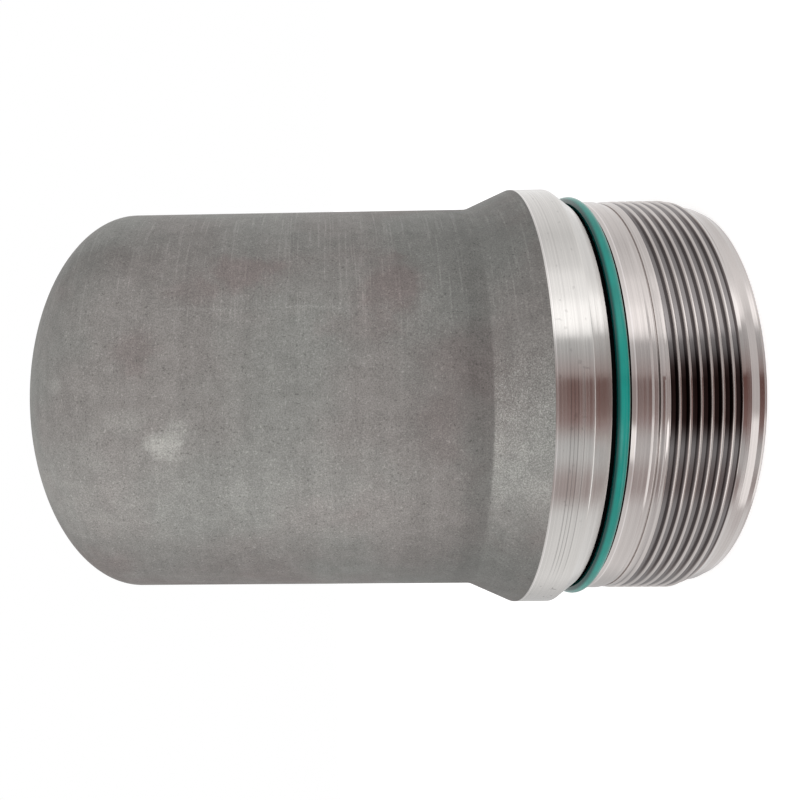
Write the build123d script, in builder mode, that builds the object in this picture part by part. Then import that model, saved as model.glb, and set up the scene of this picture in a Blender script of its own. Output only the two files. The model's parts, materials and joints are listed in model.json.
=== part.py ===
# Piston accumulator for a transmission: a forged steel can with a threaded spigot.
# A free piston parts the gas under the dome from the oil at the open mouth.
# The axis is Z, the open end face lies at 0 and the dome points up. All sizes are in millimetres.

import os
from math import atan2, degrees, radians, sqrt, tan

from build123d import *

# Walls and steps across the can
bore_diameter = 58.0
spigot_wall = 5.0
body_wall = 4.1
collar_step = 2.25
crown_wall = 8.0

# Lengths along the can, from the open end face up
thread_length = 15.7
relief_width = 0.9
land_width = 3.0
gland_width = 2.7
seat_length = 3.05
collar_width = 5.6
flare_angle = 24.0
body_length = 57.0
dome_height = 18.45

# Edges and small cuts on the outside
thread_lead_length = 1.8
thread_lead_depth = 1.1
relief_depth = 0.3
gland_depth = 0.9
gland_lead_length = 0.65
gland_lead_depth = 0.2
collar_edge_radius = 0.6
flare_foot_radius = 3.0

# Mouth of the bore
mouth_lead_length = 3.3
mouth_lead_angle = 20.0
ring_shoulder = 1.0

# Ring that seals the can in its housing
seat_ring_section = 1.8
seat_ring_offset = 0.15

# Retaining ring that stops the piston at the mouth
ring_thickness = 2.0
ring_groove_depth = 1.5
ring_groove_side_play = 0.15
ring_radial_play = 0.05
ring_width = 4.7
ring_taper = 0.6
ring_gap = 16.0
ring_lug_radius = 3.2
ring_lug_inset = 3.4
ring_lug_hole = 2.5
piston_seat_play = 0.05

# Piston
piston_play = 0.3
piston_wall = 5.9
piston_floor = 7.0
piston_edge = 1.0
dish_width = 7.5
dish_depth = 1.5
cup_corner_radius = 4.0
end_land = 2.4
mid_land = 2.0
gas_side_land = 2.6

# Running and side clearances of the rings on the piston
running_play = 0.05
groove_side_play = 0.05
groove_floor_play = 0.03

# Rings on the piston
guide_ring_width = 5.5
guide_ring_thickness = 2.5
guide_ring_gap = 1.6
guide_ring_cut_angle = 40.0
back_up_width = 1.2
back_up_thickness = 2.3
lobed_ring_width = 2.6
lobed_ring_dip = 0.5
slipper_width = 4.1
slipper_thickness = 2.2
energiser_thickness = 2.6
energiser_corner = 0.7

# Gas charge closure in the crown
spot_face_diameter = 11.0
spot_face_depth = 0.5
closing_screw_diameter = 6.0
closing_screw_set = 0.3
closing_screw_edge = 0.4
hex_across_flats = 3.0
hex_depth = 1.6
gas_bore_diameter = 1.8
gas_bore_length = 0.9
ball_diameter = 3.5

# Radii of the can
bore_radius = bore_diameter / 2
spigot_radius = bore_radius + spigot_wall
body_radius = bore_radius + body_wall
collar_radius = spigot_radius + collar_step
gland_radius = spigot_radius - gland_depth
mouth_radius = bore_radius + mouth_lead_length * tan(radians(mouth_lead_angle))

# Stations of the can
land_start = thread_length + relief_width
gland_start = land_start + land_width
gland_end = gland_start + gland_width
collar_start = gland_end + seat_length
collar_end = collar_start + collar_width
flare_end = collar_end + (collar_radius - body_radius) / tan(radians(flare_angle))
dome_base = flare_end + body_length
dome_tip = dome_base + dome_height
inner_tip = dome_tip - crown_wall

# Stations of the retaining ring and the piston
ring_groove_start = mouth_lead_length + ring_shoulder
ring_groove_end = ring_groove_start + ring_thickness + ring_groove_side_play
ring_top = ring_groove_start + ring_thickness
piston_start = ring_top + piston_seat_play
piston_radius = bore_radius - piston_play
ring_face_radius = bore_radius - running_play

# Grooves of the piston: floor radii, widths and stations, stacked up from the oil face
guide_floor = ring_face_radius - guide_ring_thickness - groove_floor_play
lobed_floor = ring_face_radius - back_up_thickness - groove_floor_play
slipper_floor = ring_face_radius - slipper_thickness - energiser_thickness - 2 * groove_floor_play
guide_groove = guide_ring_width + 2 * groove_side_play
lobed_groove = lobed_ring_width + 2 * back_up_width + 4 * groove_side_play
slipper_groove = slipper_width + 2 * groove_side_play
lower_guide_start = piston_start + end_land
lobed_start = lower_guide_start + guide_groove + mid_land
slipper_start = lobed_start + lobed_groove + mid_land
upper_guide_start = slipper_start + slipper_groove + gas_side_land
piston_end = upper_guide_start + guide_groove + end_land

os.makedirs("parts", exist_ok=True)


def turn(outline, mode=Mode.ADD):
    """Turn a closed outline of (radius, height) points about the axis."""
    with BuildSketch(Plane.XZ) as section:
        with BuildLine():
            Polyline(*outline, close=True)
        make_face()
    revolve(section.sketch, axis=Axis.Z, mode=mode)


def ring_outline(inner, outer, start, end):
    """Return the four corners of a flat-sided ring's section."""
    return [(inner, start), (outer, start), (outer, end), (inner, end)]


def write(piece, label):
    """Name a finished piece and write it to its own file."""
    piece.part.label = label
    export_step(piece.part, f"parts/{label}.step")


# Shell: can, spigot, collar and dome in one forging, turned at the open end
spigot_outline = [
    (mouth_radius, 0),
    (spigot_radius - thread_lead_depth, 0),
    (spigot_radius, thread_lead_length),
    (spigot_radius, thread_length),
    (spigot_radius - relief_depth, thread_length),
    (spigot_radius - relief_depth, land_start - relief_depth),
    (spigot_radius, land_start),
    (spigot_radius, gland_start - gland_lead_length),
    (spigot_radius - gland_lead_depth, gland_start),
    (gland_radius, gland_start),
    (gland_radius, gland_end),
    (spigot_radius, gland_end),
    (collar_radius, collar_start),
]
can_outline = [
    (collar_radius, collar_start),
    (collar_radius, collar_end),
    (body_radius, flare_end),
    (body_radius, dome_base),
]
bore_outline = [
    (bore_radius, dome_base),
    (bore_radius, ring_groove_end),
    (bore_radius + ring_groove_depth, ring_groove_end),
    (bore_radius + ring_groove_depth, ring_groove_start),
    (bore_radius, ring_groove_start),
    (bore_radius, mouth_lead_length),
    (mouth_radius, 0),
]

# The charge hole: a spot face, a tapped hole, a cone that seats the ball and a fine gas bore
spot_face = dome_tip - spot_face_depth
seat_low = inner_tip + gas_bore_length
seat_high = seat_low + (closing_screw_diameter - gas_bore_diameter) / 2
ball_centre = seat_low - gas_bore_diameter / 2 + ball_diameter / 2 * sqrt(2)
charge_hole_outline = [
    (0, inner_tip - crown_wall / 2),
    (gas_bore_diameter / 2, inner_tip - crown_wall / 2),
    (gas_bore_diameter / 2, seat_low),
    (closing_screw_diameter / 2, seat_high),
    (closing_screw_diameter / 2, spot_face),
    (spot_face_diameter / 2, spot_face),
    (spot_face_diameter / 2, dome_tip + spot_face_depth),
    (0, dome_tip + spot_face_depth),
]

with BuildPart() as shell:
    with BuildSketch(Plane.XZ):
        with BuildLine():
            Polyline(*spigot_outline)
            FilletPolyline(*can_outline, radius=[collar_edge_radius, flare_foot_radius])
            EllipticalCenterArc((0, dome_base), body_radius, dome_height, 0, arc_size=90)
            Line((0, dome_tip), (0, inner_tip))
            EllipticalCenterArc((0, dome_base), bore_radius, inner_tip - dome_base, 0, arc_size=90)
            Polyline(*bore_outline)
        make_face()
    revolve(axis=Axis.Z)
    turn(charge_hole_outline, Mode.SUBTRACT)
write(shell, "shell")

# Ring that seals the can in its housing, lying against the floor of its gland
seat_ring_height = (gland_start + gland_end) / 2 - seat_ring_offset
with BuildPart() as seat_o_ring:
    with BuildSketch(Plane.XZ):
        with Locations((gland_radius + seat_ring_section / 2, seat_ring_height)):
            Circle(seat_ring_section / 2)
    revolve(axis=Axis.Z)
write(seat_o_ring, "seat_o_ring")

# Retaining ring: a stamped ring, widest across from its gap, with a holed lug at each end
ring_outer = bore_radius + ring_groove_depth - ring_radial_play
lug_centre = ring_outer - ring_lug_inset - ring_lug_radius / 2
lug_angle = degrees(atan2(ring_gap / 2 + ring_lug_radius, lug_centre))
gap_angle = degrees(atan2(ring_gap / 2, ring_outer))
with BuildPart() as retaining_ring:
    with BuildSketch(Plane.XY.offset(ring_groove_start)):
        Circle(ring_outer)
        with Locations((0, -ring_taper)):
            Circle(ring_outer - ring_width, mode=Mode.SUBTRACT)
        with BuildLine():
            gap_side = PolarLine((0, 0), 2 * ring_outer, -90 - gap_angle)
            gap_mouth = Line(gap_side @ 1, (-(gap_side @ 1).X, (gap_side @ 1).Y))
            Line(gap_mouth @ 1, (0, 0))
        make_face(mode=Mode.SUBTRACT)
        for side in (-1, 1):
            with PolarLocations(lug_centre, 1, -90 + side * lug_angle):
                Circle(ring_lug_radius)
                Circle(ring_lug_hole / 2, mode=Mode.SUBTRACT)
    extrude(amount=ring_thickness)
write(retaining_ring, "retaining_ring")

# Piston: an aluminium cup, open to the gas, with four ring grooves and a dished oil face
cup_radius = piston_radius - piston_wall
dish_radius = piston_radius - dish_width
cup_floor = piston_start + piston_floor
piston_outline = [
    (0, piston_start + dish_depth),
    (dish_radius - dish_depth, piston_start + dish_depth),
    (dish_radius, piston_start),
    (piston_radius - piston_edge, piston_start),
    (piston_radius, piston_start + piston_edge),
    (piston_radius, piston_end - piston_edge),
    (piston_radius - piston_edge, piston_end),
    (cup_radius, piston_end),
    (cup_radius, cup_floor + cup_corner_radius),
    (cup_radius - cup_corner_radius, cup_floor),
    (0, cup_floor),
]
piston_grooves = [
    (guide_floor, lower_guide_start, guide_groove),
    (lobed_floor, lobed_start, lobed_groove),
    (slipper_floor, slipper_start, slipper_groove),
    (guide_floor, upper_guide_start, guide_groove),
]
with BuildPart() as piston:
    turn(piston_outline)
    for floor, start, width in piston_grooves:
        turn(ring_outline(floor, bore_radius, start, start + width), Mode.SUBTRACT)
write(piston, "piston")

# Guide rings: plastic bands with a slanted cut, so that they can be opened over the piston
guide_inner = ring_face_radius - guide_ring_thickness
for label, groove_start in (("lower_guide_ring", lower_guide_start), ("upper_guide_ring", upper_guide_start)):
    band_start = groove_start + groove_side_play
    with BuildPart() as guide_ring:
        turn(ring_outline(guide_inner, ring_face_radius, band_start, band_start + guide_ring_width))
        cut_place = (0, ring_face_radius, band_start + guide_ring_width / 2)
        with Locations(Location(cut_place, (0, guide_ring_cut_angle, 0))):
            Box(guide_ring_gap, 4 * guide_ring_thickness, 3 * guide_ring_width, mode=Mode.SUBTRACT)
    write(guide_ring, label)

# Oil-side seal: a four-lobed rubber ring between two stiff back-up rings
back_up_inner = ring_face_radius - back_up_thickness
lower_back_up_start = lobed_start + groove_side_play
lobed_ring_start = lower_back_up_start + back_up_width + groove_side_play
lobed_ring_end = lobed_ring_start + lobed_ring_width
upper_back_up_start = lobed_ring_end + groove_side_play
for label, start in (("lower_back_up_ring", lower_back_up_start), ("upper_back_up_ring", upper_back_up_start)):
    with BuildPart() as back_up_ring:
        turn(ring_outline(back_up_inner, ring_face_radius, start, start + back_up_width))
    write(back_up_ring, label)

lobed_middle = (lobed_ring_start + lobed_ring_end) / 2
lobed_mean = (back_up_inner + ring_face_radius) / 2
lobed_outline = [
    (back_up_inner, lobed_ring_start),
    (lobed_mean, lobed_ring_start + lobed_ring_dip),
    (ring_face_radius, lobed_ring_start),
    (ring_face_radius - lobed_ring_dip, lobed_middle),
    (ring_face_radius, lobed_ring_end),
    (lobed_mean, lobed_ring_end - lobed_ring_dip),
    (back_up_inner, lobed_ring_end),
    (back_up_inner + lobed_ring_dip, lobed_middle),
]
with BuildPart() as lobed_seal_ring:
    turn(lobed_outline)
write(lobed_seal_ring, "lobed_seal_ring")

# Gas-side seal: a low-friction slipper ring pushed out by a rubber ring beneath it
slipper_inner = ring_face_radius - slipper_thickness
slipper_low = slipper_start + groove_side_play
slipper_high = slipper_low + slipper_width
with BuildPart() as slipper_ring:
    turn(ring_outline(slipper_inner, ring_face_radius, slipper_low, slipper_high))
write(slipper_ring, "slipper_ring")

energiser_outer = slipper_inner - groove_floor_play
energiser_inner = energiser_outer - energiser_thickness
energiser_outline = [
    (energiser_inner, slipper_low + energiser_corner),
    (energiser_inner + energiser_corner, slipper_low),
    (energiser_outer - energiser_corner, slipper_low),
    (energiser_outer, slipper_low + energiser_corner),
    (energiser_outer, slipper_high - energiser_corner),
    (energiser_outer - energiser_corner, slipper_high),
    (energiser_inner + energiser_corner, slipper_high),
    (energiser_inner, slipper_high - energiser_corner),
]
with BuildPart() as energiser_ring:
    turn(energiser_outline)
write(energiser_ring, "energiser_ring")

# Gas closure: a ball pressed on its seat by a headless screw sunk below the spot face
with BuildPart() as closing_ball:
    with Locations((0, 0, ball_centre)):
        Sphere(ball_diameter / 2)
write(closing_ball, "closing_ball")

screw_low = ball_centre + ball_diameter / 2
screw_high = spot_face - closing_screw_set
screw_radius = closing_screw_diameter / 2
with BuildPart() as closing_screw:
    turn([
        (0, screw_low),
        (screw_radius - closing_screw_edge, screw_low),
        (screw_radius, screw_low + closing_screw_edge),
        (screw_radius, screw_high - closing_screw_edge),
        (screw_radius - closing_screw_edge, screw_high),
        (0, screw_high),
    ])
    with BuildSketch(Plane.XY.offset(screw_high - hex_depth)):
        RegularPolygon(hex_across_flats / 2, 6, major_radius=False)
    extrude(amount=hex_depth, mode=Mode.SUBTRACT)
write(closing_screw, "closing_screw")
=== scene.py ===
import json
from math import acos, cos, hypot, pi, radians, sin, tan

import bpy
from mathutils import Matrix, Vector


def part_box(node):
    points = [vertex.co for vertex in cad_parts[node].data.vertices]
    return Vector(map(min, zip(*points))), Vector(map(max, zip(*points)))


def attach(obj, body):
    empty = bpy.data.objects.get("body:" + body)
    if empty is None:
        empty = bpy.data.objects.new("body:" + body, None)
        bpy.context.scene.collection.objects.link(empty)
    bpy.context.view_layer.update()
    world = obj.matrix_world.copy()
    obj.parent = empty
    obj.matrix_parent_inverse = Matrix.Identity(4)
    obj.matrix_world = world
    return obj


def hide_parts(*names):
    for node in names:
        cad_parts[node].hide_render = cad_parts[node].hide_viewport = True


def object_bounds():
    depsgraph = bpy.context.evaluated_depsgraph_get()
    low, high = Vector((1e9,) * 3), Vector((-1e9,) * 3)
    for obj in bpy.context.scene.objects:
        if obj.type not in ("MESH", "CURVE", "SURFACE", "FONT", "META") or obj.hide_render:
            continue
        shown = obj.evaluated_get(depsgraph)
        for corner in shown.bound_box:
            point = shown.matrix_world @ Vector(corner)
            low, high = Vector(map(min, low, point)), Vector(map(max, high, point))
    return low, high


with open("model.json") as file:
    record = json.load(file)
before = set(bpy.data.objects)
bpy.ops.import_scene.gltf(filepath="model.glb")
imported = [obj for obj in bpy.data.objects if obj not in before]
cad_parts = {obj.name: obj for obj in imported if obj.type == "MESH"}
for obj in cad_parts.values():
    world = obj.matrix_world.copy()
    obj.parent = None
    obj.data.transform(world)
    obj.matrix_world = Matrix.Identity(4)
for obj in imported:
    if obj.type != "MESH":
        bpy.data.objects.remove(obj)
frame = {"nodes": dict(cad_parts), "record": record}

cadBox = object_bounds()
mm = 0.001
mergeDistance = 1e-6
smoothAngle = radians(28)

# sizes that come from the frame
canBody = "can"
pistonBody = "piston_set"
mounts = {mount["name"]: mount for mount in frame["record"]["mounts"]}
collarRadius = cadBox[1].x
spigotRadius = mounts["threaded_spigot"]["dims"]["r_mm"] * mm
canHeight = cadBox[1].z


def deselectAll():
    if bpy.context.mode != "OBJECT":
        bpy.ops.object.mode_set(mode="OBJECT")
    bpy.ops.object.select_all(action="DESELECT")


def pick(piece):
    deselectAll()
    piece.select_set(True)
    bpy.context.view_layer.objects.active = piece


def roundCorner(before, corner, after, rounding):
    # points of the arc that rounds a corner, with one more on each side so that smooth shading stays crisp
    steps = 2 if rounding < 0.1 * mm else 3 if rounding < 0.3 * mm else 6
    back = (Vector(before) - Vector(corner)).normalized()
    ahead = (Vector(after) - Vector(corner)).normalized()
    turn = back.angle(ahead) / 2
    reach = rounding / tan(turn)
    centre = Vector(corner) + (back + ahead).normalized() * rounding / sin(turn)
    start, end = Vector(corner) + back * reach, Vector(corner) + ahead * reach
    support = min(0.05 * mm, reach)
    points = [tuple(start + back * support)]
    for step in range(steps + 1):
        arm = (start - centre).normalized().slerp((end - centre).normalized(), step / steps)
        points.append(tuple(centre + arm * rounding))
    points.append(tuple(end + ahead * support))
    return points


def makeOutline(corners):
    # corners are (radius, height) or (radius, height, rounding), in millimetres
    points = []
    for i, corner in enumerate(corners):
        place = (corner[0] * mm, corner[1] * mm)
        if len(corner) == 2 or i in (0, len(corners) - 1):
            points.append(place)
            continue
        before = (corners[i - 1][0] * mm, corners[i - 1][1] * mm)
        after = (corners[i + 1][0] * mm, corners[i + 1][1] * mm)
        points += roundCorner(before, place, after, corner[2] * mm)
    return points


def drawWire(name, points):
    # one vertex, extruded from point to point in the XZ plane
    deselectAll()
    bpy.ops.mesh.primitive_plane_add(size=mm, location=(0, 0, 0))
    piece = bpy.context.object
    piece.name = name
    bpy.ops.object.mode_set(mode="EDIT")
    bpy.ops.mesh.select_mode(type="VERT")
    bpy.ops.mesh.select_all(action="SELECT")
    bpy.ops.mesh.merge(type="CENTER")
    bpy.ops.transform.translate(value=(points[0][0], 0, points[0][1]))
    for here, there in zip(points, points[1:]):
        step = (there[0] - here[0], 0, there[1] - here[1])
        bpy.ops.mesh.extrude_region_move(TRANSFORM_OT_translate={"value": step})
    bpy.ops.object.mode_set(mode="OBJECT")
    return piece


def spinWire(piece, steps):
    pick(piece)
    bpy.ops.object.mode_set(mode="EDIT")
    bpy.ops.mesh.select_all(action="SELECT")
    bpy.ops.mesh.spin(steps=steps, angle=2 * pi, center=(0, 0, 0), axis=(0, 0, 1))
    cleanMesh(piece)


def cleanMesh(piece, outward=True):
    pick(piece)
    bpy.ops.object.mode_set(mode="EDIT")
    bpy.ops.mesh.select_all(action="SELECT")
    bpy.ops.mesh.remove_doubles(threshold=mergeDistance)
    if outward:
        bpy.ops.mesh.normals_make_consistent(inside=False)
    bpy.ops.object.mode_set(mode="OBJECT")


def smooth(piece):
    pick(piece)
    bpy.ops.object.shade_smooth_by_angle(angle=smoothAngle)


def applyAll(piece):
    pick(piece)
    for modifier in list(piece.modifiers):
        bpy.ops.object.modifier_apply(modifier=modifier.name)


# nodes of a material or of the world

def newMaterial(name):
    material = bpy.data.materials.new(name)
    material.use_nodes = True
    tree = material.node_tree
    tree.nodes.clear()
    output = tree.nodes.new("ShaderNodeOutputMaterial")
    shader = tree.nodes.new("ShaderNodeBsdfPrincipled")
    tree.links.new(shader.outputs[0], output.inputs["Surface"])
    return material, tree, shader


def setValues(node, values):
    for socket, value in values.items():
        node.inputs[socket].default_value = value


def math(tree, operation, first, second=0.0, third=0.0, clamp=False):
    node = tree.nodes.new("ShaderNodeMath")
    node.operation = operation
    node.use_clamp = clamp
    for socket, value in zip(node.inputs, (first, second, third)):
        if isinstance(value, bpy.types.NodeSocket):
            tree.links.new(value, socket)
        else:
            socket.default_value = value
    return node.outputs[0]


def ramp(tree, value, low, high, start=0.0, end=1.0):
    # start below low, end above high, and a smooth change between them
    node = tree.nodes.new("ShaderNodeMapRange")
    node.interpolation_type = "SMOOTHSTEP"
    setValues(node, {"From Min": low, "From Max": high, "To Min": start, "To Max": end})
    tree.links.new(value, node.inputs["Value"])
    return node.outputs[0]


def band(tree, value, middle, halfWidth, soft):
    # 1 within halfWidth of middle, falling to 0 over the soft distance
    away = math(tree, "ABSOLUTE", math(tree, "SUBTRACT", value, middle))
    return ramp(tree, away, halfWidth, halfWidth + soft, 1.0, 0.0)


def noise(tree, vector, scale, detail=3.0, roughness=0.5, w=None):
    node = tree.nodes.new("ShaderNodeTexNoise")
    setValues(node, {"Scale": scale, "Detail": detail, "Roughness": roughness})
    if w is not None:
        node.noise_dimensions = "4D"
        tree.links.new(w, node.inputs["W"])
    tree.links.new(vector, node.inputs["Vector"])
    return node.outputs[0]


def mixColors(tree, factor, first, second, blend="MIX"):
    node = tree.nodes.new("ShaderNodeMix")
    node.data_type = "RGBA"
    node.blend_type = blend
    sockets = [s for s in node.inputs if s.enabled]
    for socket, value in zip(sockets, (factor, first, second)):
        if isinstance(value, bpy.types.NodeSocket):
            tree.links.new(value, socket)
        elif socket.type == "RGBA":
            socket.default_value = (*value, 1)
        else:
            socket.default_value = value
    return [s for s in node.outputs if s.enabled][0]


def scaleVector(tree, vector, scale):
    node = tree.nodes.new("ShaderNodeVectorMath")
    node.operation = "MULTIPLY"
    node.inputs[1].default_value = scale
    tree.links.new(vector, node.inputs[0])
    return node.outputs[0]


def objectPlace(tree):
    # object coordinates, the height, the radius and the angle round the axis from the -Y side
    place = tree.nodes.new("ShaderNodeTexCoord").outputs["Object"]
    split = tree.nodes.new("ShaderNodeSeparateXYZ")
    tree.links.new(place, split.inputs[0])
    x, y, height = split.outputs
    square = math(tree, "ADD", math(tree, "MULTIPLY", x, x), math(tree, "MULTIPLY", y, y))
    radius = math(tree, "SQRT", square)
    angle = math(tree, "ARCTAN2", x, math(tree, "MULTIPLY", y, -1.0))
    return place, height, radius, angle


def addBump(tree, shader, height, strength, distance, below=None):
    bump = tree.nodes.new("ShaderNodeBump")
    setValues(bump, {"Strength": strength, "Distance": distance})
    tree.links.new(height, bump.inputs["Height"])
    if below is not None:
        tree.links.new(below, bump.inputs["Normal"])
    tree.links.new(bump.outputs[0], shader.inputs["Normal"])
    return bump.outputs[0]


# forged steel of the can

forgedLook = {
    "grey": (0.264, 0.250, 0.238),
    "brown": (0.232, 0.198, 0.190),
    "green": (0.252, 0.252, 0.238),
    "pale": (0.50, 0.50, 0.47),
    "dark": (0.150, 0.142, 0.134),
    "patchScale": 38,
    "grainScale": 5200,
    "pitScale": 3000,
    "speckScale": 6200,
    # height in mm, degrees round the axis, half sizes along and around in mm, colour, strength
    "stains": (
        (75, 35, 8, 5, "brown", 0.8),
        (52, 30, 6, 7, "brown", 0.8),
        (57, 18, 7, 4, "brown", 0.4),
        (90, 12, 4, 5, "brown", 0.5),
        (82, 29, 6, 3, "brown", 0.4),
        (97, 40, 9, 5, "dark", 0.3),
        (86, -12, 3.4, 2.6, "pale", 0.5),
        (84, -8, 2.4, 2, "pale", 0.3),
        (91, -6, 5, 2.5, "pale", 0.15),
        (102, 4, 1.6, 2, "pale", 0.2),
        (46, -9, 4, 7, "brown", 0.35),
        (64, -20, 16, 6, "green", 0.6),
    ),
    # painted light and shade: degrees round the axis and how much lighter or darker the skin is painted there
    "paintedLight": ((-180, 0.92), (-75, 0.86), (-52, 0.88), (-44, 0.98), (-34, 1.2), (-24, 1.2), (-8, 1.05),
              (22, 1.0), (34, 0.92), (48, 0.84), (62, 0.98), (80, 1.04), (180, 0.92)),
    "scratch": (73.0, 23.5, 10.8),
    "edgeLine": 30.68,
}


def paintedLightRound(tree, angle):
    ring = tree.nodes.new("ShaderNodeValToRGB")
    tree.links.new(math(tree, "MULTIPLY_ADD", angle, 1 / (2 * pi), 0.5), ring.inputs[0])
    paintedLight = forgedLook["paintedLight"]
    for degrees, lightLevel in paintedLight[1:-1]:
        ring.color_ramp.elements.new(degrees / 360 + 0.5)
    for element, (degrees, lightLevel) in zip(ring.color_ramp.elements, paintedLight):
        element.color = (lightLevel, lightLevel, lightLevel, 1)
    return ring.outputs[0]


def addStains(tree, place, height, angle, tint):
    # soft blotches whose edges a noise breaks up
    torn = noise(tree, place, 240, 3, 0.6)
    for middle, degrees, along, around, color, strength in forgedLook["stains"]:
        up = math(tree, "MULTIPLY_ADD", height, 1000 / along, -middle / along)
        spread = shell["bodyRadius"] / around
        side = math(tree, "MULTIPLY_ADD", angle, spread, -radians(degrees) * spread)
        square = math(tree, "ADD", math(tree, "MULTIPLY", up, up), math(tree, "MULTIPLY", side, side))
        away = math(tree, "SQRT", square)
        away = math(tree, "ADD", away, math(tree, "MULTIPLY_ADD", torn, 1.6, -0.8))
        mask = ramp(tree, away, 0.3, 1.1, strength, 0.0)
        tint = mixColors(tree, mask, tint, forgedLook[color])
    return tint


def forgedSteel():
    look = forgedLook
    material, tree, shader = newMaterial("forgedSteel")
    place, height, radius, angle = objectPlace(tree)
    patches = noise(tree, place, look["patchScale"], 3)
    tint = mixColors(tree, ramp(tree, patches, 0.40, 0.62), look["green"], look["grey"])
    browned = noise(tree, scaleVector(tree, place, (1, 1, 0.7)), look["patchScale"] * 1.4, 4, 0.6)
    tint = mixColors(tree, ramp(tree, browned, 0.5, 0.72, 0.0, 0.6), tint, look["brown"])
    tint = addStains(tree, place, height, angle, tint)
    # the forging's grain, its pits and the streaks that run round it
    grain = noise(tree, place, look["grainScale"], 1, 0.6)
    shade = ramp(tree, grain, 0.32, 0.68, 0.84, 1.16)
    pits = noise(tree, place, look["pitScale"], 0)
    shade = math(tree, "MULTIPLY", shade, ramp(tree, pits, 0.20, 0.29, 0.7, 1.0))
    shade = math(tree, "MULTIPLY", shade, ramp(tree, pits, 0.68, 0.78, 1.0, 1.25))
    clouds = noise(tree, place, 420, 3, 0.6)
    shade = math(tree, "MULTIPLY", shade, ramp(tree, clouds, 0.3, 0.7, 0.93, 1.07))
    swirls = noise(tree, scaleVector(tree, place, (9, 9, 420)), 1, 3)
    shade = math(tree, "MULTIPLY", shade, ramp(tree, swirls, 0.3, 0.7, 0.96, 1.04))
    hairs = noise(tree, scaleVector(tree, place, (75, 75, 2600)), 1, 2, 0.6)
    upper = band(tree, angle, 0.95, 0.4, 0.35)
    hairMask = math(tree, "MULTIPLY", ramp(tree, hairs, 0.54, 0.7), math(tree, "MULTIPLY_ADD", upper, 0.75, 0.25))
    shade = math(tree, "MULTIPLY", shade, math(tree, "MULTIPLY_ADD", hairMask, 0.24, 1.0))
    # painted light and shade: the skin made lighter or darker round the axis, following where the light falls
    shade = math(tree, "MULTIPLY", shade, paintedLightRound(tree, angle))
    # painted shade: a darker band in the hollow at the flare's foot, strongest on the camera's side
    front = band(tree, angle, -0.1, 0.5, 0.35)
    foot = ramp(tree, height, 38.4 * mm, 38.9 * mm)
    foot = math(tree, "MULTIPLY", foot, ramp(tree, height, 41 * mm, 45 * mm, 1.0, 0.0))
    foot = math(tree, "MULTIPLY", foot, math(tree, "MULTIPLY_ADD", front, 0.7, 0.3))
    shade = math(tree, "MULTIPLY", shade, math(tree, "MULTIPLY_ADD", foot, -0.17, 1.0))
    shade = math(tree, "MULTIPLY", shade, ramp(tree, height, 38 * mm, 62 * mm, 0.8, 1.0))
    tint = mixColors(tree, 1.0, tint, shade, "MULTIPLY")
    # one long pale scratch
    middle, degrees, reach = look["scratch"]
    wander = math(tree, "MULTIPLY_ADD", noise(tree, scaleVector(tree, place, (0, 0, 1)), 110, 3, 0.6), 0.05, -0.025)
    line = band(tree, math(tree, "ADD", angle, wander), radians(degrees), 0.002, 0.008)
    line = math(tree, "MULTIPLY", line, band(tree, height, middle * mm, reach * mm, 4 * mm))
    line = math(tree, "MULTIPLY", line, ramp(tree, grain, 0.35, 0.65))
    line = math(tree, "MULTIPLY", line, ramp(tree, clouds, 0.35, 0.6, 0.2, 1.0))
    tint = mixColors(tree, math(tree, "MULTIPLY", line, 0.3), tint, look["pale"])
    # blasted pale specks on the flare, thicker on the middle of the camera's side
    onFlare = band(tree, height, 34.6 * mm, 3.7 * mm, 0.4 * mm)
    wide = band(tree, angle, -0.17, 0.2, 0.35)
    near = band(tree, angle, -0.25, 0.06, 0.3)
    specks = noise(tree, place, look["speckScale"], 1, 0.6)
    blasted = math(tree, "MULTIPLY", math(tree, "MULTIPLY", onFlare, wide), ramp(tree, clouds, 0.35, 0.65, 0.6, 1.0))
    speckMask = math(tree, "MULTIPLY", ramp(tree, specks, 0.46, 0.68), blasted)
    tint = mixColors(tree, math(tree, "MULTIPLY", speckMask, 0.6), tint, look["pale"])
    # the flare is also made lighter on the middle of the camera's side
    lighter = math(tree, "MULTIPLY_ADD", math(tree, "MULTIPLY", near, onFlare), 0.22, 1.0)
    tint = mixColors(tree, 1.0, tint, lighter, "MULTIPLY")
    edge = ramp(tree, height, look["edgeLine"] * mm, (look["edgeLine"] + 0.12) * mm, 0.45, 1.0)
    tint = mixColors(tree, 1.0, tint, edge, "MULTIPLY")
    tree.links.new(tint, shader.inputs["Base Color"])
    rough = ramp(tree, patches, 0.3, 0.7, 0.56, 0.66)
    tree.links.new(rough, shader.inputs["Roughness"])
    setValues(shader, {"Metallic": 0.25, "Specular IOR Level": 0.3})
    coarse = noise(tree, place, 900, 3, 0.6)
    first = addBump(tree, shader, coarse, 0.35, 0.05 * mm)
    addBump(tree, shader, grain, 0.35, 0.03 * mm, first)
    return material


# turned steel of the collar, the cone, the lands and the thread

turnedLook = {
    "steel": (0.76, 0.735, 0.71),
    "spigot": (0.66, 0.61, 0.59),
    "flankShade": (0.27, 0.25, 0.25),
    "groove": (0.045, 0.03, 0.028),
    "gland": (0.004, 0.004, 0.004),
    "pale": (0.95, 0.90, 0.89),
    # heights in mm of thin painted glint lines along edges: middle, half width, strength
    "glintLines": ((30.5, 0.04, 0.7), (22.40, 0.03, 0.8), (18.94, 0.08, 0.5)),
    "threadMiddle": 9.3,
    "threadHalf": 5.9,
    "roughness": 0.17,
    "threadRoughness": 0.1,
    "toolLines": (28.68, 28.17, 27.65, 26.81),
    "toolLineWidth": 0.045,
}


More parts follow.
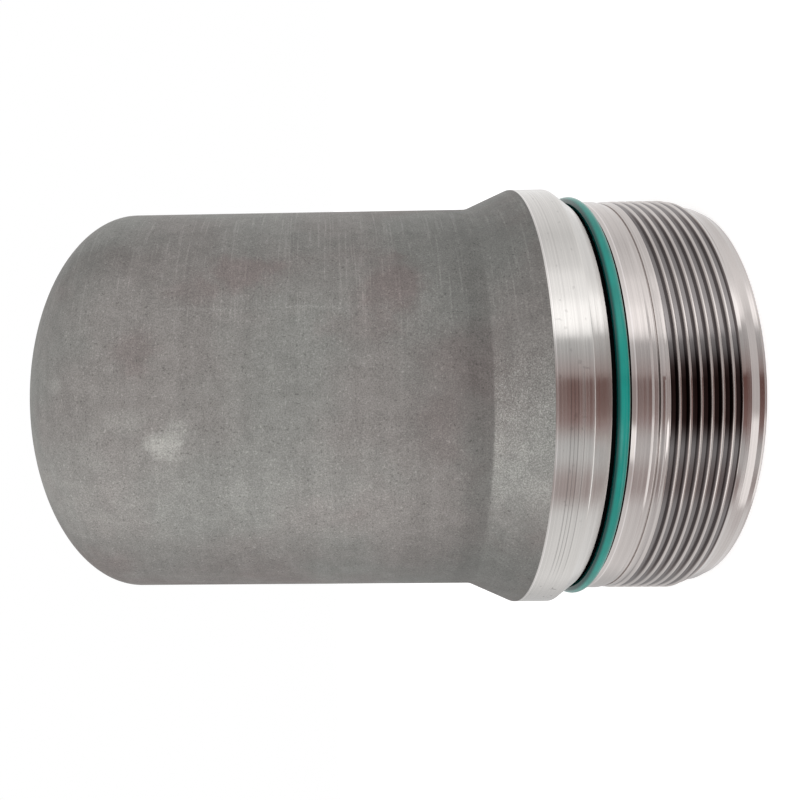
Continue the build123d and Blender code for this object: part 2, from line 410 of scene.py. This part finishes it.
def turnedSteel():
    look = turnedLook
    material, tree, shader = newMaterial("turnedSteel")
    place, height, radius, angle = objectPlace(tree)
    along = math(tree, "MULTIPLY_ADD", radius, 0.7, height)
    fine = noise(tree, scaleVector(tree, place, (12, 12, 12)), 1, 2, 0.5, math(tree, "MULTIPLY", along, 9000))
    broad = noise(tree, scaleVector(tree, place, (8, 8, 8)), 1, 3, 0.6, math(tree, "MULTIPLY", along, 1300))
    lines = ramp(tree, fine, 0.3, 0.7, 0.93, 1.05)
    for line in look["toolLines"]:
        mark = band(tree, height, line * mm, look["toolLineWidth"] * mm, 0.04 * mm)
        mark = math(tree, "MULTIPLY", mark, ramp(tree, angle, 0.02, 0.14, 0.32, 0.06))
        mark = math(tree, "MULTIPLY", mark, ramp(tree, angle, -0.95, -0.7))
        lines = math(tree, "MULTIPLY", lines, math(tree, "SUBTRACT", 1.0, mark))
    pits = noise(tree, place, 900, 1)
    onCollar = band(tree, height, 28.2 * mm, 2.0 * mm, 0.3 * mm)
    pitted = math(tree, "MULTIPLY", ramp(tree, pits, 0.26, 0.31, 0.5, 0.0), onCollar)
    pitted = math(tree, "MULTIPLY", pitted, ramp(tree, angle, -1.0, -0.8, 1.0, 0.25))
    lines = math(tree, "MULTIPLY", lines, math(tree, "SUBTRACT", 1.0, pitted))
    onSpigot = ramp(tree, height, 19.3 * mm, 19.6 * mm, 1.0, 0.0)
    tint = mixColors(tree, onSpigot, look["steel"], look["spigot"])
    tint = mixColors(tree, 1.0, tint, lines, "MULTIPLY")
    # painted shade: the thread's flanks are painted darker, and its roots and the undercut are painted near black, most
    # of all on the camera's side
    inThread = band(tree, height, look["threadMiddle"] * mm, look["threadHalf"] * mm, 0.15 * mm)
    leadRise = (shell["leadHigh"] - shell["leadEnd"]) * mm
    drop = math(tree, "MULTIPLY_ADD", height, -1 / leadRise, shell["leadHigh"] * mm / leadRise, clamp=True)
    crest = math(tree, "MULTIPLY_ADD", drop, -shell["leadDepth"] * mm, spigotRadius)
    depth = math(tree, "SUBTRACT", crest, radius)
    flankShade = math(tree, "MULTIPLY", ramp(tree, depth, 0.12 * mm, 0.34 * mm), inThread)
    tint = mixColors(tree, flankShade, tint, look["flankShade"])
    nearSide = band(tree, angle, -0.01, 0.1, 0.14)
    root = ramp(tree, depth, 0.16 * mm, 0.36 * mm)
    grooveShade = math(tree, "MULTIPLY", math(tree, "MULTIPLY", root, inThread), nearSide)
    undercut = band(tree, height, 15.62 * mm, 0.1 * mm, 0.03 * mm)
    grooveShade = math(tree, "MAXIMUM", grooveShade, math(tree, "MULTIPLY", undercut, math(tree, "MULTIPLY_ADD", nearSide, 0.7, 0.1)))
    tint = mixColors(tree, math(tree, "MULTIPLY", grooveShade, 0.96), tint, look["groove"])
    # painted shade: the gland is painted black and without shine, as no light comes back out of it
    inGland = band(tree, height, 20.93 * mm, 1.37 * mm, 0.02 * mm)
    sunk = ramp(tree, radius, spigotRadius - 0.22 * mm, spigotRadius - 0.18 * mm, 1.0, 0.0)
    glandShade = math(tree, "MULTIPLY", inGland, sunk)
    tint = mixColors(tree, glandShade, tint, look["gland"])
    # painted glints: thin pale lines along the edges of the collar, the cone and the land
    for middle, half, strength in look["glintLines"]:
        line = band(tree, height, middle * mm, half * mm, 0.03 * mm)
        tint = mixColors(tree, math(tree, "MULTIPLY", line, strength), tint, look["pale"])
    tree.links.new(tint, shader.inputs["Base Color"])
    rough = ramp(tree, broad, 0.3, 0.7, look["roughness"] - 0.05, look["roughness"] + 0.08)
    smoother = math(tree, "MULTIPLY", inThread, look["roughness"] - look["threadRoughness"])
    rough = math(tree, "SUBTRACT", rough, smoother)
    tree.links.new(rough, shader.inputs["Roughness"])
    bare = math(tree, "SUBTRACT", 1.0, glandShade)
    tree.links.new(bare, shader.inputs["Metallic"])
    tree.links.new(bare, shader.inputs["Specular IOR Level"])
    setValues(shader, {"Anisotropic": 0.75, "Anisotropic Rotation": 0.25})
    tangent = tree.nodes.new("ShaderNodeTangent")
    tangent.direction_type = "RADIAL"
    tangent.axis = "Z"
    tree.links.new(tangent.outputs[0], shader.inputs["Tangent"])
    first = addBump(tree, shader, broad, 0.25, 0.012 * mm)
    addBump(tree, shader, fine, 0.3, 0.006 * mm, first)
    return material


def honedSteel():
    material, tree, shader = newMaterial("honedSteel")
    place, height, radius, angle = objectPlace(tree)
    rise = math(tree, "MULTIPLY", angle, spigotRadius)
    scratches = []
    for lean in (1, -1):
        across = math(tree, "MULTIPLY_ADD", rise, lean * 0.6, height)
        scratches.append(noise(tree, place, 40, 2, 0.5, math(tree, "MULTIPLY", across, 5200)))
    hatch = math(tree, "ADD", *scratches)
    tint = mixColors(tree, ramp(tree, hatch, 0.7, 1.3), (0.50, 0.485, 0.47), (0.64, 0.625, 0.61))
    tree.links.new(tint, shader.inputs["Base Color"])
    setValues(shader, {"Metallic": 1.0})
    tree.links.new(ramp(tree, hatch, 0.7, 1.3, 0.18, 0.3), shader.inputs["Roughness"])
    addBump(tree, shader, hatch, 0.25, 0.006 * mm)
    return material


# the shell: can, collar, cone, gland, land and threaded spigot in one piece

shell = {
    "segments": 256,
    "boreRadius": 29.0,
    "mouthRadius": 30.2,
    "mouthLead": 3.3,
    "ringGroove": (4.3, 6.45, 30.5),
    # the lead at the mouth: two short lands with a cone above each, the upper one up to the full thread
    "lead": ((32.2, 0, 0.1), (32.3, 0.4, 0.1), (32.8, 1.35, 0.1), (32.95, 2.5, 0.1), (33.28, 3.36)),
    "leadEnd": 3.40,
    "leadHigh": 4.6,
    "leadDepth": 0.7,
    "threadEnd": 15.5,
    "ridge": (14.6, 0.27),
    "undercut": (0.55, 15.75),
    "relief": (0.26, 16.42),
    "landEdge": (0.08, 16.78),
    "gland": (19.52, 22.3, 0.9),
    "glandLead": (0.65, 0.2),
    "collar": (25.35, 30.95, 0.6),
    "coneEdge": 0.38,
    "flareEnd": 38.025,
    "flareFoot": 3.0,
    "bodyRadius": 33.1,
    "domeBase": 95.025,
    "domeHeight": 18.45,
    "innerHeight": 10.45,
    "domeSteps": 44,
    "innerSteps": 20,
    "spotFace": (5.5, 0.5),
    "screwHole": (3.0, 108.475),
    "gasBore": (0.9, 106.375),
    "edge": 0.12,
}


def domePoints(radius, height, base, fromRadius, toRadius, steps):
    # points on an ellipse between two radii, evenly spaced by angle
    points = []
    first, last = acos(fromRadius / radius), acos(toRadius / radius)
    for i in range(steps + 1):
        turn = first + (last - first) * i / steps
        points.append((radius * cos(turn), base + height * sin(turn)))
    return points


def latheShell():
    s = shell
    spigot, collar = spigotRadius / mm, collarRadius / mm
    edge = s["edge"]
    ridgeStart, ridgeLean = s["ridge"]
    undercutDepth, undercutTop = s["undercut"]
    reliefDepth, reliefTop = s["relief"]
    landCut, landStart = s["landEdge"]
    glandStart, glandEnd, glandDepth = s["gland"]
    leadLength, leadCut = s["glandLead"]
    collarStart, collarEnd, collarEdge = s["collar"]
    grooveLow, grooveHigh, grooveRadius = s["ringGroove"]
    spotRadius, spotDepth = s["spotFace"]
    tip = s["domeBase"] + s["domeHeight"]
    innerTip = s["domeBase"] + s["innerHeight"]
    holeRadius, holeFloor = s["screwHole"]
    gasRadius, seatLow = s["gasBore"]
    spigotCorners = [
        (spigot - ridgeLean * (s["threadEnd"] - 0.1 - ridgeStart), s["threadEnd"] - 0.1),
        (spigot - ridgeLean * (s["threadEnd"] - ridgeStart), s["threadEnd"], 0.05),
        (spigot - undercutDepth, s["threadEnd"], 0.05),
        (spigot - undercutDepth, undercutTop, 0.05),
        (spigot - reliefDepth, undercutTop, 0.05),
        (spigot - reliefDepth, reliefTop, 0.05),
        (spigot - landCut, reliefTop + 0.02, 0.04),
        (spigot, landStart, 0.5),
        (spigot, glandStart - leadLength, 0.5),
        (spigot - leadCut, glandStart, 0.04),
        (spigot - glandDepth, glandStart, 0.15),
        (spigot - glandDepth, glandEnd, 0.15),
        (spigot, glandEnd, 0.1),
        (collar, collarStart, s["coneEdge"]),
        (collar, collarEnd, collarEdge),
        (s["bodyRadius"], s["flareEnd"], s["flareFoot"]),
        (s["bodyRadius"], s["domeBase"] - 1),
    ]
    outside = makeOutline(spigotCorners)
    spotHeight = tip - spotDepth
    bodyRadius = s["bodyRadius"]
    crown = spotRadius + 0.15
    dome = domePoints(bodyRadius, s["domeHeight"], s["domeBase"], bodyRadius, crown, s["domeSteps"])
    crownCorners = [
        (dome[-1][0], dome[-1][1]),
        (spotRadius, spotHeight, 0.08),
        (holeRadius + 0.35, spotHeight, 0.04),
        (holeRadius, spotHeight - 0.35, 0.04),
        (holeRadius, holeFloor, 0.1),
        (gasRadius, seatLow, 0.04),
        (gasRadius, innerTip, 0.05),
    ]
    boreRadius = s["boreRadius"]
    inner = domePoints(boreRadius, s["innerHeight"], s["domeBase"], gasRadius + 0.1, boreRadius, s["innerSteps"])
    crownCorners.append(inner[0])
    boreCorners = [
        inner[-1],
        (s["boreRadius"], grooveHigh, 0.1),
        (grooveRadius, grooveHigh, 0.15),
        (grooveRadius, grooveLow, 0.15),
        (s["boreRadius"], grooveLow, 0.1),
        (s["boreRadius"], s["mouthLead"], 0.3),
        (s["mouthRadius"], 0, edge),
        *s["lead"],
        (spigot - s["leadDepth"], s["leadEnd"]),
    ]
    toMetres = lambda points: [(r * mm, z * mm) for r, z in points]
    outline = outside + toMetres(dome)
    outline += makeOutline(crownCorners)[1:] + toMetres(inner[1:])
    outline += makeOutline(boreCorners)[1:]
    piece = drawWire("shellSkin", outline)
    pick(piece)
    spinWire(piece, s["segments"])
    return piece


# the thread: one pitch of its section, wound by a screw modifier

thread = {
    "pitch": 1.5,
    "depth": 0.68,
    "section": ((0, 1), (0.11, 1), (0.135, 0.95), (0.20, 0.65), (0.27, 0.35), (0.34, 0.05),
                (0.365, 0), (0.735, 0), (0.76, 0.05), (0.83, 0.35), (0.90, 0.65), (0.965, 0.95)),
    "start": 1.127,
    "turns": 10,
    "fade": (14.0, 14.9),
    "cutLow": 3.45,
    "cutHigh": 15.3,
}


def windThread():
    t = thread
    spigot = spigotRadius / mm
    ridgeStart, ridgeLean = shell["ridge"]
    section = [*t["section"], (1, 1)]
    points = []
    for along, rise in section:
        radius = spigot - t["depth"] * (1 - rise)
        points.append((radius * mm, (t["start"] + along * t["pitch"]) * mm))
    piece = drawWire("threadSkin", points)
    screw = piece.modifiers.new("winding", "SCREW")
    screw.axis = "Z"
    screw.angle = 2 * pi
    screw.steps = screw.render_steps = shell["segments"]
    screw.iterations = t["turns"]
    screw.screw_offset = t["pitch"] * mm
    applyAll(piece)
    # the turns run out towards the land, and the lead cone cuts their crests at the mouth
    for vertex in piece.data.vertices:
        height = vertex.co.z / mm
        radius = hypot(vertex.co.x, vertex.co.y) / mm
        fade = min(1, max(0, (t["fade"][1] - height) / (t["fade"][1] - t["fade"][0])))
        radius = spigot - (spigot - radius) * fade - max(0, height - ridgeStart) * ridgeLean
        below = (shell["leadHigh"] - height) / (shell["leadHigh"] - shell["leadEnd"])
        cone = spigot - shell["leadDepth"] * below
        factor = min(radius, max(cone, spigot - 2)) / (hypot(vertex.co.x, vertex.co.y) / mm)
        vertex.co.x *= factor
        vertex.co.y *= factor
    cleanMesh(piece, outward=False)
    for height, up in ((t["cutLow"], False), (t["cutHigh"], True)):
        bpy.ops.object.mode_set(mode="EDIT")
        bpy.ops.mesh.select_all(action="SELECT")
        bpy.ops.mesh.bisect(plane_co=(0, 0, height * mm), plane_no=(0, 0, 1),
                            clear_outer=up, clear_inner=not up, threshold=1e-7)
        bpy.ops.object.mode_set(mode="OBJECT")
    return piece


def bridgeRings(piece, low, high):
    # joins the two open edges that lie between two heights
    pick(piece)
    bpy.ops.object.mode_set(mode="EDIT")
    bpy.ops.mesh.select_mode(type="EDGE")
    bpy.ops.mesh.select_all(action="DESELECT")
    bpy.ops.mesh.select_non_manifold(extend=False, use_wire=False, use_multi_face=False,
                                     use_non_contiguous=False, use_verts=False)
    bpy.ops.object.mode_set(mode="OBJECT")
    places = [vertex.co for vertex in piece.data.vertices]
    for edge in piece.data.edges:
        inRange = all(low * mm < places[v].z < high * mm for v in edge.vertices)
        outerSide = all(hypot(places[v].x, places[v].y) > spigotRadius - 2 * mm for v in edge.vertices)
        edge.select = edge.select and inRange and outerSide
    bpy.ops.object.mode_set(mode="EDIT")
    bpy.ops.mesh.bridge_edge_loops()
    bpy.ops.object.mode_set(mode="OBJECT")


def paintShell(piece):
    s = shell
    for face in piece.data.polygons:
        centre, out = face.center, face.normal
        radius, height = hypot(centre.x, centre.y) / mm, centre.z / mm
        inside = radius < s["boreRadius"] + 1.6 and height < s["domeBase"]
        if height >= s["domeBase"]:
            lift = (height - s["domeBase"]) / (s["innerHeight"] + 3)
            inside = hypot(radius / (s["boreRadius"] + 2), lift) < 1
        forged = height > s["collar"][1] - 0.35
        inCrown = radius < s["spotFace"][0] and height > s["gasBore"][1] - 1
        face.material_index = 2 if inside else 1 if inCrown else 0 if forged else 1


print("scene: winding the shell and its thread")
shellSkin = latheShell()
threadSkin = windThread()
deselectAll()
threadSkin.select_set(True)
shellSkin.select_set(True)
bpy.context.view_layer.objects.active = shellSkin
bpy.ops.object.join()
bridgeRings(shellSkin, thread["cutHigh"] - 0.02, shell["threadEnd"] - 0.08)
bridgeRings(shellSkin, shell["leadEnd"] - 0.02, thread["cutLow"] + 0.02)
cleanMesh(shellSkin)
for make in (forgedSteel, turnedSteel, honedSteel):
    shellSkin.data.materials.append(make())
paintShell(shellSkin)
smooth(shellSkin)
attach(shellSkin, canBody)
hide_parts("shell")


# the green ring in its gland

seatRing = {
    "segments": 256,
    "sectionSteps": 28,
    "color": (0.001, 0.27, 0.225),
    "shaded": (0.0, 0.035, 0.035),
    "rimSheen": (0.22, 0.42, 0.34),
    "roughness": 0.11,
    "shine": 0.5,
}


def greenRubber():
    material, tree, shader = newMaterial("greenRubber")
    place, height, radius, angle = objectPlace(tree)
    clouds = noise(tree, place, 180, 3)
    color = seatRing["color"]
    darker = tuple(0.86 * c for c in color)
    tint = mixColors(tree, ramp(tree, clouds, 0.35, 0.65), darker, color)
    # painted shadow: darker where it lies under the cone; painted reflection: paler along its lower rim by the lip of
    # its gland
    low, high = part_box("seat_o_ring")
    tint = mixColors(tree, ramp(tree, height, high.z - 0.5 * mm, high.z - 0.1 * mm, 0.0, 0.9), tint, seatRing["shaded"])
    tint = mixColors(tree, band(tree, height, low.z + 0.09 * mm, 0.06 * mm, 0.06 * mm), tint, seatRing["rimSheen"])
    tree.links.new(tint, shader.inputs["Base Color"])
    rough = ramp(tree, clouds, 0.3, 0.7, seatRing["roughness"], seatRing["roughness"] + 0.06)
    tree.links.new(rough, shader.inputs["Roughness"])
    setValues(shader, {"Specular IOR Level": seatRing["shine"]})
    addBump(tree, shader, noise(tree, place, 2200, 2), 0.1, 0.01 * mm)
    return material


def makeSeatRing():
    low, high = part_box("seat_o_ring")
    half = (high.z - low.z) / 2
    middle = (high.x - half, (high.z + low.z) / 2)
    points = []
    for i in range(seatRing["sectionSteps"] + 1):
        turn = 2 * pi * i / seatRing["sectionSteps"]
        points.append((middle[0] + half * cos(turn), middle[1] + half * sin(turn)))
    piece = drawWire("seatRingSkin", points)
    spinWire(piece, seatRing["segments"])
    piece.data.materials.append(greenRubber())
    smooth(piece)
    piece.visible_glossy = False  # the steel mirrors the studio, not the ring beside it
    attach(piece, canBody)
    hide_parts("seat_o_ring")


print("scene: seat ring")
makeSeatRing()


# the piston and what holds it in the bore

piston = {
    "segments": 128,
    "sidePlay": 0.05,
    "floorPlay": 0.03,
    "guideThickness": 2.5,
    "backUpThickness": 2.3,
    "slipperStack": 4.83,
    "wall": 5.9,
    "floor": 7.0,
    "cupRounding": 4.0,
    "dish": (7.5, 1.5),
    "edge": 1.0,
    "aluminium": (0.72, 0.72, 0.71),
    "roughness": 0.26,
}


def turnedAluminium():
    material, tree, shader = newMaterial("turnedAluminium")
    place, height, radius, angle = objectPlace(tree)
    along = math(tree, "MULTIPLY_ADD", radius, 0.8, height)
    feed = noise(tree, scaleVector(tree, place, (10, 10, 10)), 1, 2, 0.5, math(tree, "MULTIPLY", along, 6500))
    wear = noise(tree, place, 120, 3)
    tint = mixColors(tree, 1.0, piston["aluminium"], ramp(tree, feed, 0.3, 0.7, 0.9, 1.04), "MULTIPLY")
    tree.links.new(tint, shader.inputs["Base Color"])
    rough = ramp(tree, wear, 0.3, 0.7, piston["roughness"], piston["roughness"] + 0.12)
    tree.links.new(rough, shader.inputs["Roughness"])
    setValues(shader, {"Metallic": 1.0})
    addBump(tree, shader, feed, 0.3, 0.01 * mm)
    return material


def makePiston():
    p = piston
    low, high = (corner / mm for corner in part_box("piston"))
    radius = high.x
    bottom, top = low.z, high.z
    inner = radius - p["wall"]
    cupFloor = bottom + p["floor"]
    dishWidth, dishDepth = p["dish"]
    dishRadius = radius - dishWidth
    corners = [
        (0, bottom + dishDepth),
        (dishRadius - dishDepth, bottom + dishDepth, 0.6),
        (dishRadius, bottom, 0.2),
        (radius - p["edge"], bottom, 0.15),
        (radius, bottom + p["edge"], 0.15),
    ]
    # each groove spans the rings in it, and its floor lies just under them
    grooves = [
        ("lower_guide_ring", "lower_guide_ring", p["guideThickness"]),
        ("lower_back_up_ring", "upper_back_up_ring", p["backUpThickness"]),
        ("slipper_ring", "slipper_ring", p["slipperStack"]),
        ("upper_guide_ring", "upper_guide_ring", p["guideThickness"]),
    ]
    for first, last, depth in grooves:
        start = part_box(first)[0].z / mm - p["sidePlay"]
        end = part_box(last)[1].z / mm + p["sidePlay"]
        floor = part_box(first)[1].x / mm - depth - p["floorPlay"]
        corners += [(radius, start, 0.12), (floor, start, 0.2), (floor, end, 0.2), (radius, end, 0.12)]
    corners += [
        (radius, top - p["edge"], 0.15),
        (radius - p["edge"], top, 0.15),
        (inner, top, 0.3),
        (inner, cupFloor, p["cupRounding"]),
        (0, cupFloor),
    ]
    piece = drawWire("pistonSkin", makeOutline(corners))
    spinWire(piece, p["segments"])
    piece.data.materials.append(turnedAluminium())
    smooth(piece)
    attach(piece, pistonBody)
    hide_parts("piston")


# pieces that start as a merged copy of their node and get broken edges

copied = {
    "retainingRingSkin": ("retaining_ring", "spring_steel", 0.14),
    "closingScrewSkin": ("closing_screw", "closing_steel", 0.06),
}
flatAngle = radians(0.5)


def plainMetal(name, color, roughness, grain, metallic=1.0):
    material, tree, shader = newMaterial(name)
    place, height, radius, angle = objectPlace(tree)
    clouds = noise(tree, place, grain * 0.1, 3)
    fine = noise(tree, place, grain, 2, 0.6)
    shade = math(tree, "MULTIPLY", ramp(tree, clouds, 0.3, 0.7, 0.85, 1.1), ramp(tree, fine, 0.3, 0.7, 0.9, 1.08))
    tree.links.new(mixColors(tree, 1.0, color, shade, "MULTIPLY"), shader.inputs["Base Color"])
    tree.links.new(ramp(tree, clouds, 0.3, 0.7, roughness - 0.06, roughness + 0.08), shader.inputs["Roughness"])
    setValues(shader, {"Metallic": metallic})
    addBump(tree, shader, fine, 0.25, 0.01 * mm)
    return material


def copyNode(name, node, edge, material):
    deselectAll()
    source = frame["nodes"][node]
    piece = bpy.data.objects.new(name, source.data.copy())
    bpy.context.scene.collection.objects.link(piece)
    piece.data.materials.clear()
    piece.data.materials.append(material)
    cleanMesh(piece)
    bpy.ops.object.mode_set(mode="EDIT")
    bpy.ops.mesh.select_all(action="SELECT")
    bpy.ops.mesh.dissolve_limited(angle_limit=flatAngle)
    bpy.ops.object.mode_set(mode="OBJECT")
    bevel = piece.modifiers.new("brokenEdges", "BEVEL")
    bevel.width = edge * mm
    bevel.segments = 2
    bevel.angle_limit = smoothAngle
    applyAll(piece)
    smooth(piece)
    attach(piece, canBody)
    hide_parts(node)


# seals and guides keep their nodes and get their own finish

ringLooks = {
    "guidePlastic": ((0.20, 0.13, 0.075), 0.42, 900, ("lower_guide_ring", "upper_guide_ring")),
    "backUpPlastic": ((0.62, 0.60, 0.54), 0.40, 700, ("lower_back_up_ring", "upper_back_up_ring")),
    "slipperPlastic": ((0.17, 0.115, 0.06), 0.36, 1100, ("slipper_ring",)),
    "blackRubber": ((0.022, 0.022, 0.023), 0.48, 1500, ("lobed_seal_ring", "energiser_ring")),
}


def finishRings():
    for name, (color, roughness, grain, nodes) in ringLooks.items():
        material = plainMetal(name, color, roughness, grain, 0.0)
        for node in nodes:
            setOnly(frame["nodes"][node], material)
    setOnly(frame["nodes"]["closing_ball"], plainMetal("ballSteel", (0.62, 0.62, 0.62), 0.16, 1800))


def setOnly(piece, material):
    for place in piece.material_slots:
        place.material = material


print("scene: piston, retaining ring and closing screw")
makePiston()
copyMetals = {
    "retainingRingSkin": plainMetal("springSteel", (0.16, 0.155, 0.15), 0.42, 1600),
    "closingScrewSkin": plainMetal("closingSteel", (0.20, 0.195, 0.19), 0.36, 2000),
}
for name, (node, slot, edge) in copied.items():
    copyNode(name, node, edge, copyMetals[name])
finishRings()


# floor, lights and camera

studio = {
    "floorSize": 40.0,
    "floorColor": (0.86, 0.86, 0.86),
    "floorLift": 0.5,
    # what polished steel mirrors: degrees round the axis from the -Y side towards +X, then a level
    "bands": ((-180, 0.60), (-150, 0.54), (-134, 0.60), (-113, 0.82), (-80, 0.78), (-64, 0.72), (-53, 0.36),
              (-43, 0.36), (-32, 0.55), (-24, 0.50), (-14, 0.22), (-3, 0.15), (7, 0.13), (10, 0.33), (22, 0.46),
              (28, 0.50), (31, 1.15), (36, 1.4), (46, 1.35), (52, 1.1), (65, 1.0), (70, 0.82), (92, 0.68),
              (104, 0.76), (134, 0.87), (150, 0.92), (180, 0.60)),
    "darkTint": (1.3, 0.53, 0.43),
    "closing": 0.6,
    "lowBoard": 0.80,
    "frontBoard": 0.85,
    "overhead": 0.62,
    "lampPlace": (-0.44, -0.07, 0.89),
    "lampLevel": 1.35,
    # two boxes of light: degrees, half width, then between two heights of the mirrored direction, level
    "boxes": ((-27, 7, 0.2, 0.75, 1.5), (-26, 15, -0.84, -0.52, 1.2)),
}


def makeWorld():
    world = bpy.data.worlds.new("studioWorld")
    bpy.context.scene.world = world
    world.use_nodes = True
    tree = world.node_tree
    tree.nodes.clear()
    output = tree.nodes.new("ShaderNodeOutputWorld")
    direction = tree.nodes.new("ShaderNodeTexCoord").outputs["Generated"]
    split = tree.nodes.new("ShaderNodeSeparateXYZ")
    tree.links.new(direction, split.inputs[0])
    x, y, z = split.outputs
    # the bands close in towards straight down, as flags and boxes that hang round the foot do
    inward = ramp(tree, z, -0.6, -0.35, studio["closing"], 0.0)
    angle = math(tree, "ARCTAN2", x, math(tree, "SUBTRACT", inward, y))
    share = math(tree, "MULTIPLY_ADD", angle, 1 / (2 * pi), 0.5)
    bands = tree.nodes.new("ShaderNodeValToRGB")
    tree.links.new(share, bands.inputs[0])
    elements = bands.color_ramp.elements
    for degrees, grey in studio["bands"][1:-1]:
        elements.new(degrees / 360 + 0.5)
    for element, (degrees, grey) in zip(elements, studio["bands"]):
        warmth = max(0.0, 1 - grey / 0.45)
        tint = [1 + (t - 1) * warmth for t in studio["darkTint"]]
        element.color = (grey * tint[0], grey * tint[1], grey * tint[2], 1)
    # pale boards below and in front, an even ceiling and a small lamp high on the left
    lowBoard = math(tree, "MULTIPLY", ramp(tree, z, -0.5, -0.42, 0.75, 0.0), ramp(tree, z, -0.9, -0.8))
    seen = mixColors(tree, lowBoard, bands.outputs[0], (studio["lowBoard"],) * 3)
    frontBoard = ramp(tree, z, -0.16, -0.02, 0.0, 0.7)
    frontBoard = math(tree, "MULTIPLY", frontBoard, ramp(tree, z, 0.1, 0.22, 1.0, 0.35))
    seen = mixColors(tree, frontBoard, seen, (studio["frontBoard"],) * 3)
    seen = mixColors(tree, ramp(tree, z, 0.5, 0.8), seen, (studio["overhead"],) * 3)
    for degrees, half, low, high, level in studio["boxes"]:
        across = band(tree, angle, radians(degrees), radians(half), radians(5))
        box = math(tree, "MULTIPLY", across, ramp(tree, z, low - 0.03, low + 0.03))
        box = math(tree, "MULTIPLY", box, ramp(tree, z, high - 0.05, high + 0.05, 1.0, 0.0))
        seen = mixColors(tree, box, seen, (level,) * 3)
    away = tree.nodes.new("ShaderNodeVectorMath")
    away.operation = "DISTANCE"
    away.inputs[1].default_value = studio["lampPlace"]
    tree.links.new(direction, away.inputs[0])
    lamp = ramp(tree, away.outputs["Value"], 0.18, 0.34, 1.0, 0.0)
    seen = mixColors(tree, lamp, seen, (studio["lampLevel"],) * 3)
    studioLight = tree.nodes.new("ShaderNodeBackground")
    tree.links.new(seen, studioLight.inputs["Color"])
    white = tree.nodes.new("ShaderNodeBackground")
    setValues(white, {"Color": (1, 1, 1, 1), "Strength": 1.0})
    path = tree.nodes.new("ShaderNodeLightPath")
    choose = tree.nodes.new("ShaderNodeMixShader")
    tree.links.new(path.outputs["Is Camera Ray"], choose.inputs[0])
    tree.links.new(studioLight.outputs[0], choose.inputs[1])
    tree.links.new(white.outputs[0], choose.inputs[2])
    tree.links.new(choose.outputs[0], output.inputs["Surface"])


def makeFloor():
    deselectAll()
    bpy.ops.mesh.primitive_plane_add(size=studio["floorSize"], location=(0, 0, 0))
    floor = bpy.context.object
    floor.name = "floor"
    floor.visible_glossy = False  # polished steel mirrors the studio below its foot too
    material = bpy.data.materials.new("paleFloor")
    material.use_nodes = True
    tree = material.node_tree
    tree.nodes.clear()
    output = tree.nodes.new("ShaderNodeOutputMaterial")
    matte = tree.nodes.new("ShaderNodeBsdfDiffuse")
    matte.inputs["Color"].default_value = (*studio["floorColor"], 1)
    lift = tree.nodes.new("ShaderNodeEmission")
    setValues(lift, {"Color": (1, 1, 1, 1), "Strength": studio["floorLift"]})
    both = tree.nodes.new("ShaderNodeAddShader")
    tree.links.new(matte.outputs[0], both.inputs[0])
    tree.links.new(lift.outputs[0], both.inputs[1])
    path = tree.nodes.new("ShaderNodeLightPath")
    choose = tree.nodes.new("ShaderNodeMixShader")
    tree.links.new(path.outputs["Is Camera Ray"], choose.inputs[0])
    tree.links.new(matte.outputs[0], choose.inputs[1])
    tree.links.new(both.outputs[0], choose.inputs[2])
    tree.links.new(choose.outputs[0], output.inputs["Surface"])
    floor.data.materials.append(material)


# name: place, width, height, power, whether polished steel mirrors it
lamps = {
    "stripBox": ((0.40, -0.38, 0.10), 0.17, 0.6, 0.15, False),
    "edgeBox": ((0.47, 0.17, 0.07), 0.3, 0.4, 0.5, False),
    "fillBox": ((-0.22, -0.50, 0.12), 0.5, 0.5, 1.2, False),
}


def makeLights():
    for name, (place, width, height, power, mirrored) in lamps.items():
        deselectAll()
        bpy.ops.object.light_add(type="AREA", location=place)
        light = bpy.context.object
        light.name = name
        light.data.shape = "RECTANGLE"
        light.data.size = width
        light.data.size_y = height
        light.data.energy = power
        light.visible_glossy = mirrored
        toCan = Vector((0, 0, canHeight / 2)) - light.location
        light.rotation_euler = toCan.to_track_quat("-Z", "Y").to_euler()


camera = {
    "place": (-0.000377, -0.148962, 0.061388),
    "aim": (-0.000332, 0.0, 0.064982),
    "roll": -90.707,
    "lens": 36.688,
    "shift": 0.1083,
}


def makeCamera():
    deselectAll()
    bpy.ops.object.camera_add(location=camera["place"])
    eye = bpy.context.object
    aim = Vector(camera["aim"]) - Vector(camera["place"])
    turn = aim.to_track_quat("-Z", "Y").to_matrix() @ Matrix.Rotation(radians(camera["roll"]), 3, "Z")
    eye.rotation_euler = turn.to_euler()
    eye.data.lens = camera["lens"]
    eye.data.sensor_width = 36
    eye.data.shift_x = camera["shift"]
    eye.data.clip_start = 0.01
    bpy.context.scene.camera = eye


print("scene: floor, lights and camera")
makeWorld()
makeFloor()
makeLights()
makeCamera()
bpy.context.scene.view_settings.view_transform = "Standard"
